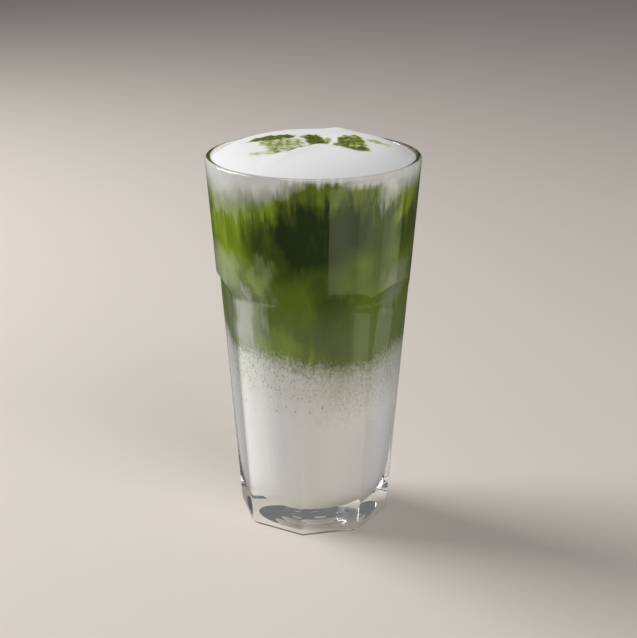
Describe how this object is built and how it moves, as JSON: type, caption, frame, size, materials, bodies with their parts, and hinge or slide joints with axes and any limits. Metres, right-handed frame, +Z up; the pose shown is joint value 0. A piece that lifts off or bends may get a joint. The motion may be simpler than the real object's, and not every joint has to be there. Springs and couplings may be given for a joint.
{
  "type": "matcha latte in a tall glass",
  "caption": "Iced matcha latte in a tall clear tumbler with flat pressed panels: pale milk below, green tea above, a domed milk foam over the rim.",
  "frame": {"origin": "middle of the foot, on the surface that the glass stands on", "axes": "+Z up along the axis of the glass; -Y towards the side that the drink is served facing; +X to the right seen from there"},
  "size_m": [0.0786, 0.0786, 0.146],
  "materials": {
    "glass": "clear pressed glass, polished, faintly grey in its thick base",
    "milk": "opaque cold milk against the glass, speckled with tea near its top",
    "matcha": "opaque green tea, streaked from bright yellow green to very dark green",
    "foam": "fine dense milk foam, satin to matte, stained green in patches"
  },
  "bodies": {
    "root": {"glass": "glass", "milk": "milk", "matcha": "matcha", "foam": "foam"}
  },
  "joints": []
}
